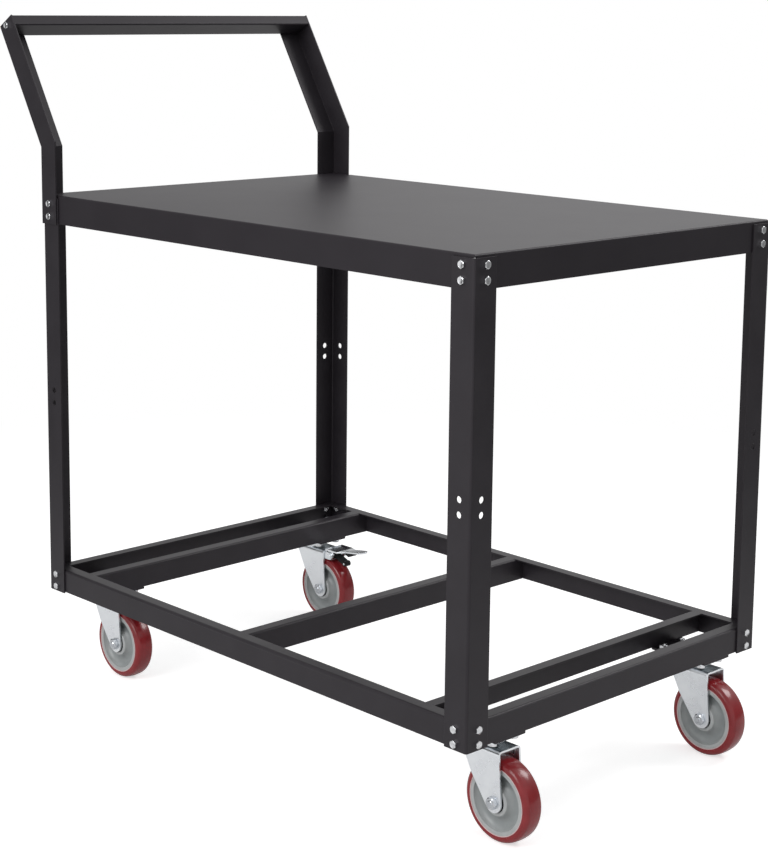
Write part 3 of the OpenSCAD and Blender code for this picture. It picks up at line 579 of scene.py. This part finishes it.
def treadPiece(corner):
    treadWide, treadHalf, _ = (size / 2 for size in boxSize("wheel_tread_" + corner))
    base = boxSize("wheel_hub_" + corner)[2] / 2 + treadLook["bond"] * mm
    lip, crown = treadLook["lip"] * mm, treadLook["crown"] * mm
    shoulder, parts = treadLook["shoulder"] * mm, treadLook["arcParts"]
    face = treadHalf - shoulder
    crownR = (face * face + crown * crown) / (2 * crown)
    side = [Vector((base, -treadHalf + lip)), Vector((base + lip, -treadHalf))]
    for step in range(parts + 1):
        angle = math.radians(90 * step / parts)
        side.append(Vector((treadWide - crown - shoulder + shoulder * math.sin(angle),
                            -face - shoulder * math.cos(angle))))
    outline = side[:]
    for step in range(1, parts):
        y = -face + 2 * face * step / parts
        outline.append(Vector((treadWide - crownR + math.sqrt(crownR * crownR - y * y), y)))
    outline += [Vector((p.x, -p.y)) for p in reversed(side)]
    shape = bmesh.new()
    lathe(shape, outline, treadLook["steps"], True)
    onAxle(shape, corner, 0)
    finishPiece("poured_tread_" + corner, shape, treadUrethane, "wheel_" + corner,
                ["wheel_tread_" + corner], treadLook["smooth"])
    for turn in (0, 180):
        bondPiece(corner, turn, base, treadHalf)


def bondPiece(corner, turn, base, half):
    # pale line of the bond, a thin bead that stands out between the hub and the tread; its pale
    # colour is partly a painted highlight on the edge of the tread's lip
    middle = Vector((base, half - bondLook["sink"] * mm))
    shape = bmesh.new()
    lathe(shape, circlePoints(middle, bondLook["section"] * mm, bondLook["parts"]),
          bondLook["steps"], True)
    onAxle(shape, corner, turn)
    finishPiece("bond_line_highlight_%s_%d" % (corner, turn), shape, bondFlashAndHighlight, "wheel_" + corner,
                [], bondLook["smooth"])


for corner in corners:
    hubPiece(corner)
    treadPiece(corner)
print("wheels turned")


# the shoe lever of a brake, in mm from its pin: a slim bar with an eye and a rivet at its
# end, and the wedge that the pedal rests on

shoeLook = {
    "halfWidth": 6.5, "bar": 7, "barParts": 12, "boss": 6, "pinHole": 3.3,
    "eye": 5.4, "eyeHole": 2.1, "rivetGap": 0.05, "rivetOut": 1,
    "endAngle": 46, "endOut": 4.8,    # where the eye lies round the tread
    "turn": 21,                       # from brake on, where the lever is drawn, to off
    "rubGap": 0.3,                    # between the lever and the tread with the brake on
    "wedge": [(30, 8.5), (41, 4.5), (50, 8), (53, 15), (30, 11.7)],
    "arcParts": 20, "smooth": 30,
}


def slab(shape, loops, half):
    # closed slab with holes, from loops of (along the bench, height), the first one outside
    edges = []
    for loop in loops:
        verts = [shape.verts.new((p[0], -half, p[1])) for p in loop]
        edges += [shape.edges.new(pair) for pair in zip(verts, verts[1:] + verts[:1])]
    filled = bmesh.ops.triangle_fill(shape, use_beauty=True, edges=edges)
    faces = [g for g in filled["geom"] if isinstance(g, bmesh.types.BMFace)]
    grown = bmesh.ops.extrude_face_region(shape, geom=faces)
    bmesh.ops.translate(shape, vec=(0, 2 * half, 0),
                        verts=[g for g in grown["geom"] if isinstance(g, bmesh.types.BMVert)])


def shoePiece(corner):
    low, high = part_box("brake_pin_" + corner)
    pin = (low + high) / 2
    center = wheelCenter(corner)
    axle = Vector((center.x - pin.x, center.z - pin.z))
    treadR = boxSize("wheel_tread_" + corner)[2] / 2
    width, parts = shoeLook["halfWidth"] * mm, shoeLook["arcParts"]
    angle = math.radians(shoeLook["endAngle"])
    end = axle + (treadR + shoeLook["endOut"] * mm) * Vector((math.cos(angle), math.sin(angle)))
    # from the boss along the underside to the eye, and back
    ahead = math.atan2(end.y, end.x)
    half, boss, eye = shoeLook["bar"] / 2 * mm, shoeLook["boss"] * mm, shoeLook["eye"] * mm
    bossTurn, eyeTurn = math.asin(half / boss), math.asin(half / eye)
    outline = arcPoints(Vector((0, 0)), boss, ahead + bossTurn, ahead + 2 * math.pi - bossTurn,
                        parts)
    tip = arcPoints(end, eye, ahead - math.pi + eyeTurn, ahead + math.pi - eyeTurn, parts)
    root = outline[-1]
    for step in range(1, shoeLook["barParts"]):
        outline.append(root.lerp(tip[0], step / shoeLook["barParts"]))
    outline += tip
    # the underside clears the tread when the brake is on
    clear = treadR + shoeLook["rubGap"] * mm
    outline = [axle + (p - axle).normalized() * max(clear, (p - axle).length) for p in outline]
    eyeHole = circlePoints(end, shoeLook["eyeHole"] * mm, parts)
    pinHole = circlePoints(Vector((0, 0)), shoeLook["pinHole"] * mm, parts)
    rivetRing = circlePoints(end, (shoeLook["eyeHole"] - shoeLook["rivetGap"]) * mm, parts)
    off = Matrix.Rotation(math.radians(shoeLook["turn"]), 2)
    lever = bmesh.new()
    slab(lever, [[off @ p for p in loop] for loop in (outline, eyeHole, pinHole)], width)
    slab(lever, [[Vector(p) * mm for p in shoeLook["wedge"]]], width)
    rivet = bmesh.new()
    slab(rivet, [[off @ p for p in rivetRing]], width + shoeLook["rivetOut"] * mm)
    for shape in (lever, rivet):
        bmesh.ops.translate(shape, vec=pin, verts=shape.verts)
    finishPiece("slim_shoe_lever_" + corner, lever, blackOxide, "brake_" + corner,
                ["brake_shoe_" + corner], shoeLook["smooth"])
    finishPiece("shoe_rivet_" + corner, rivet, casterZinc, "brake_" + corner,
                [], shoeLook["smooth"])


for corner in brakedCorners:
    shoePiece(corner)
print("shoe levers cut")


# studio, in metres

studio = {
    "floorSize": 60.0,
    "floorColor": (0.8, 0.8, 0.8, 1),
    "floorLift": 0.6,         # what the camera sees on top of the lit floor
    "floorGlossLift": 0.16,   # what mirror rays see on top of it
    "floorFade": (1.1, 2.4),  # from the middle, over which the floor turns plain white
    "white": 1.0,             # what the camera sees of the room
    "skyDiffuse": 0.5,        # strength of the white room on dull surfaces
    # flags that mirror rays find instead of the white wall: the way to each, where its
    # edge starts and ends as a cosine from there, and how bright it is
    "flags": [((0.72, 0.69, -0.35), 0.5, 0.9, 0.25),     # for the faces that look along +X
              ((-0.985, -0.17, 0.0), 0.7, 0.92, 0.15),   # for those along -Y by the handle
              ((-0.93, 0.3, 0.1), 0.85, 0.97, 0.57)],    # for the deck by the handle
    # name, watts, size and place
    "lamps": [("keySoftbox", 80.0, 2.2, (0.2, -3.6, 2.6)),
              ("topSoftbox", 40.0, 1.2, (1.5, 2.5, 2.9))],
    "aim": (0.0, 0.0, 0.5),
}


def byRay(tree, camera, glossy, other):
    # one strength for camera and see-through rays, one for mirror rays, one for the rest;
    # glossy is a number or a (node, output)
    path = addNode(tree, "ShaderNodeLightPath")
    straight = addNode(tree, "ShaderNodeMath", {"operation": "MAXIMUM"},
                       {0: (path, "Is Camera Ray"), 1: (path, "Is Transmission Ray")})
    settings = {"data_type": "FLOAT", numberMix["first"]: other}
    links = {numberMix["factor"]: (path, "Is Glossy Ray")}
    (links if isinstance(glossy, tuple) else settings)[numberMix["second"]] = glossy
    bounced = addNode(tree, "ShaderNodeMix", settings, links)
    return addNode(tree, "ShaderNodeMix", {"data_type": "FLOAT", numberMix["second"]: camera},
                   {numberMix["factor"]: (straight, 0),
                    numberMix["first"]: (bounced, numberMix["result"])})


def flagged(tree, output):
    # 1 where the room is white, less toward the flags
    place = addNode(tree, "ShaderNodeTexCoord")
    way = addNode(tree, "ShaderNodeVectorMath", {"operation": "NORMALIZE"}, {0: (place, output)})
    shade = None
    for direction, start, end, strength in studio["flags"]:
        toward = addNode(tree, "ShaderNodeVectorMath",
                         {"operation": "DOT_PRODUCT", 1: Vector(direction).normalized()},
                         {0: (way, 0)})
        flag = addNode(tree, "ShaderNodeMapRange",
                       {"interpolation_type": "SMOOTHSTEP", "From Min": start, "From Max": end,
                        "To Min": 1.0, "To Max": strength}, {"Value": (toward, "Value")})
        shade = flag if shade is None else addNode(
            tree, "ShaderNodeMath", {"operation": "MULTIPLY"}, {0: (shade, 0), 1: (flag, 0)})
    return (shade, 0)


def makeWorld():
    world = bpy.data.worlds.new("whiteRoom")
    bpy.context.scene.world = world
    world.use_nodes = True
    tree = world.node_tree
    strength = byRay(tree, studio["white"], flagged(tree, "Generated"), studio["skyDiffuse"])
    setNode(tree, tree.nodes["Background"], {"Color": (1, 1, 1, 1)},
            {"Strength": (strength, numberMix["result"])})


def paleFloorMaterial():
    # matte and lit near the bench, where its shadow falls, and plain white farther out
    material = bpy.data.materials.new("paleFloor")
    material.use_nodes = True
    tree = material.node_tree
    tree.nodes.remove(tree.nodes["Principled BSDF"])
    matte = addNode(tree, "ShaderNodeBsdfDiffuse", {"Color": studio["floorColor"]})
    lift = byRay(tree, studio["floorLift"], studio["floorGlossLift"], 0.0)
    glow = addNode(tree, "ShaderNodeEmission", {"Color": (1, 1, 1, 1)},
                   {"Strength": (lift, numberMix["result"])})
    near = addNode(tree, "ShaderNodeAddShader", {}, {0: (matte, 0), 1: (glow, 0)})
    strength = byRay(tree, studio["white"], flagged(tree, "Object"), studio["skyDiffuse"])
    far = addNode(tree, "ShaderNodeEmission", {"Color": (1, 1, 1, 1)},
                  {"Strength": (strength, numberMix["result"])})
    place = addNode(tree, "ShaderNodeTexCoord")
    away = addNode(tree, "ShaderNodeVectorMath", {"operation": "LENGTH"}, {0: (place, "Object")})
    fade = addNode(tree, "ShaderNodeMapRange",
                   {"interpolation_type": "SMOOTHSTEP", "From Min": studio["floorFade"][0],
                    "From Max": studio["floorFade"][1]}, {"Value": (away, "Value")})
    both = addNode(tree, "ShaderNodeMixShader", {},
                   {0: (fade, "Result"), 1: (near, 0), 2: (far, 0)})
    setNode(tree, tree.nodes["Material Output"], {}, {"Surface": (both, 0)})
    return material


def makeFloor():
    shape = bmesh.new()
    bmesh.ops.create_grid(shape, x_segments=1, y_segments=1, size=studio["floorSize"] / 2)
    mesh = bpy.data.meshes.new("floor")
    shape.to_mesh(mesh)
    shape.free()
    mesh.materials.append(paleFloorMaterial())
    floor = bpy.data.objects.new("floor", mesh)
    bpy.context.collection.objects.link(floor)


def makeLamp(name, energy, size, place):
    light = bpy.data.lights.new(name, "AREA")
    light.energy = energy
    light.size = size
    lamp = bpy.data.objects.new(name, light)
    lamp.location = place
    toAim = Vector(studio["aim"]) - Vector(place)
    lamp.rotation_euler = toAim.to_track_quat("-Z", "Y").to_euler()
    bpy.context.collection.objects.link(lamp)


makeWorld()
makeFloor()
for lamp in studio["lamps"]:
    makeLamp(*lamp)
print("studio lit")

view = {
    "place": (2.3314, -2.1959, 1.2103),   # metres
    "turn": 46.432,                       # degrees from looking along +Y
    "tilt": 9.155,                        # degrees down
    "roll": 0.586,
    "lens": 80.518,
    "sensor": 36.0,
    "shiftY": -0.14,                      # keeps the uprights nearly parallel
}


def makeCamera():
    camera = bpy.data.cameras.new("camera")
    camera.lens = view["lens"]
    camera.sensor_width = view["sensor"]
    camera.shift_y = view["shiftY"]
    eye = bpy.data.objects.new("camera", camera)
    eye.matrix_world = (Matrix.Translation(view["place"])
                        @ Matrix.Rotation(math.radians(view["turn"]), 4, "Z")
                        @ Matrix.Rotation(math.radians(90 - view["tilt"]), 4, "X")
                        @ Matrix.Rotation(math.radians(view["roll"]), 4, "Z"))
    bpy.context.collection.objects.link(eye)
    bpy.context.scene.camera = eye


makeCamera()
bpy.context.scene.view_settings.view_transform = "Standard"
print("camera set")
